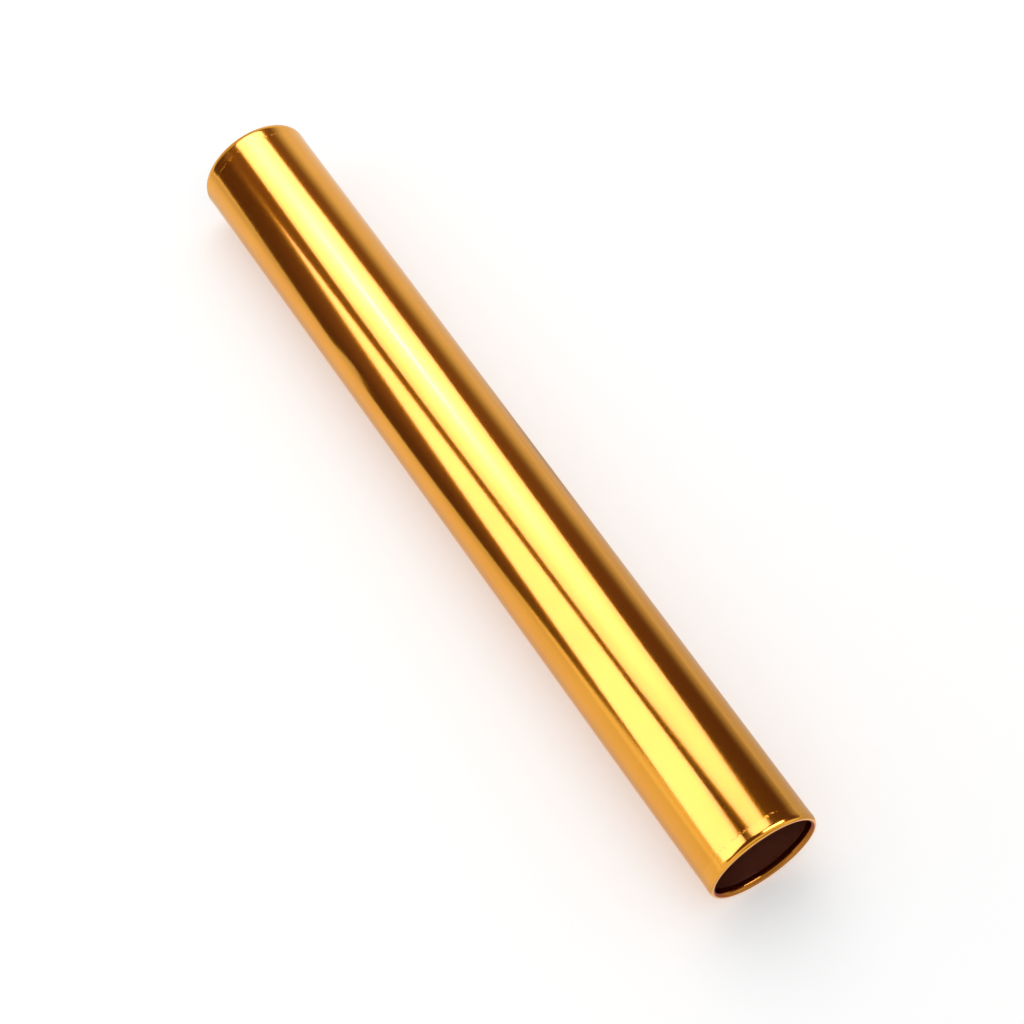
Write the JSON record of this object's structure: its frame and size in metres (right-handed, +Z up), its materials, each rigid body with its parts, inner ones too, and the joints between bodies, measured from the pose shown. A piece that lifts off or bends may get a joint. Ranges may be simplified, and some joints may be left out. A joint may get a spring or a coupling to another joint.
{
  "type": "relay baton",
  "caption": "Rigid seamless hollow cylinder for hand-to-hand passing in a relay race, open at both ends, each end rolled inward to a smooth round lip.",
  "frame": {"origin": "middle of the tube's length, on its axis", "axes": "+X along the tube, towards the end that the picture looks into; +Z up, with the baton lying on its side"},
  "size_m": [0.3, 0.0382, 0.0382],
  "materials": {
    "gold_anodised_aluminium": "bright polished, dyed and clear-sealed anodising, satin inside the bore"
  },
  "bodies": {
    "root": {"baton_tube": "gold_anodised_aluminium"}
  },
  "joints": []
}
